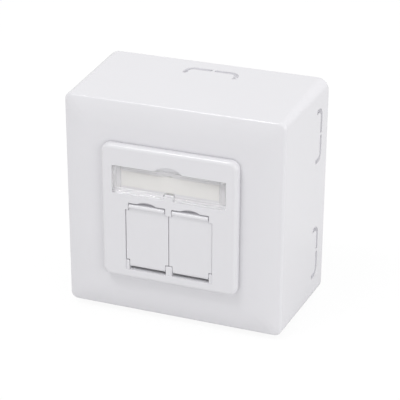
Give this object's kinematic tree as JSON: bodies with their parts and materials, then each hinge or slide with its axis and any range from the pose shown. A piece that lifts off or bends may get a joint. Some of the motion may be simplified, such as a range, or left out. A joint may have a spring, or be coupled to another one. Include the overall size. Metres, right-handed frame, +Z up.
{
  "type": "surface mount jack box",
  "caption": "Square white surface mount network outlet box with a raised centre plate, clear label window and dust flaps over shielded jacks.",
  "frame": {"origin": "centre of the round cable entry in the wall face of the base plate", "axes": "+Y into the wall, so the front looks along -Y; +Z up as the label is read; +X to the right seen from the front"},
  "size_m": [0.08, 0.0443, 0.0794],
  "materials": {
    "white_plastic": "glossy moulded plastic",
    "clear_plastic": "clear moulded plastic",
    "label_card": "plain blank card",
    "base_plastic": "satin moulded plastic",
    "sheet_steel": "zinc plated sheet",
    "screw_steel": "zinc plated",
    "die_cast_zinc": "dull die-cast",
    "board": "solder mask",
    "black_plastic": "satin moulded plastic",
    "gold_contacts": "gold plated",
    "terminal_plastic": "satin moulded plastic",
    "tin_blades": "tin plated"
  },
  "bodies": {
    "jack_box": {"cover": "white_plastic", "centre_plate": "white_plastic", "label_card": "label_card", "base_plate": "base_plastic", "carrier_frame": "sheet_steel", "carrier_screws": "screw_steel", "plate_screw": "screw_steel", "jack_housing": "die_cast_zinc", "circuit_board": "board", "shield_cover": "die_cast_zinc", "clamp_screws": "screw_steel", "jack_shield_left": "sheet_steel", "jack_shield_right": "sheet_steel", "jack_insert_left": "black_plastic", "jack_insert_right": "black_plastic", "jack_contacts_left": "gold_contacts", "jack_contacts_right": "gold_contacts", "terminal_block_left": "terminal_plastic", "terminal_block_right": "terminal_plastic", "terminal_blades_left": "tin_blades", "terminal_blades_right": "tin_blades", "cable_clamp_left": "sheet_steel", "cable_clamp_right": "sheet_steel"},
    "flap_left": {"flap_left": "white_plastic"},
    "flap_right": {"flap_right": "white_plastic"},
    "label_window": {"label_window": "clear_plastic"}
  },
  "joints": [
    {"name": "flap_left_hinge", "type": "hinge", "parent": "jack_box", "child": "flap_left", "pos_m": [-0.00765, -0.04245, -0.0185], "axis": [1, 0, 0], "range_deg": [0, 100]},
    {"name": "flap_right_hinge", "type": "hinge", "parent": "jack_box", "child": "flap_right", "pos_m": [0.00765, -0.04245, -0.0185], "axis": [1, 0, 0], "range_deg": [0, 100]},
    {"name": "label_window_hinge", "type": "hinge", "parent": "jack_box", "child": "label_window", "pos_m": [0, -0.04305, 0.00775], "axis": [1, 0, 0], "range_deg": [0, 70]}
  ]
}
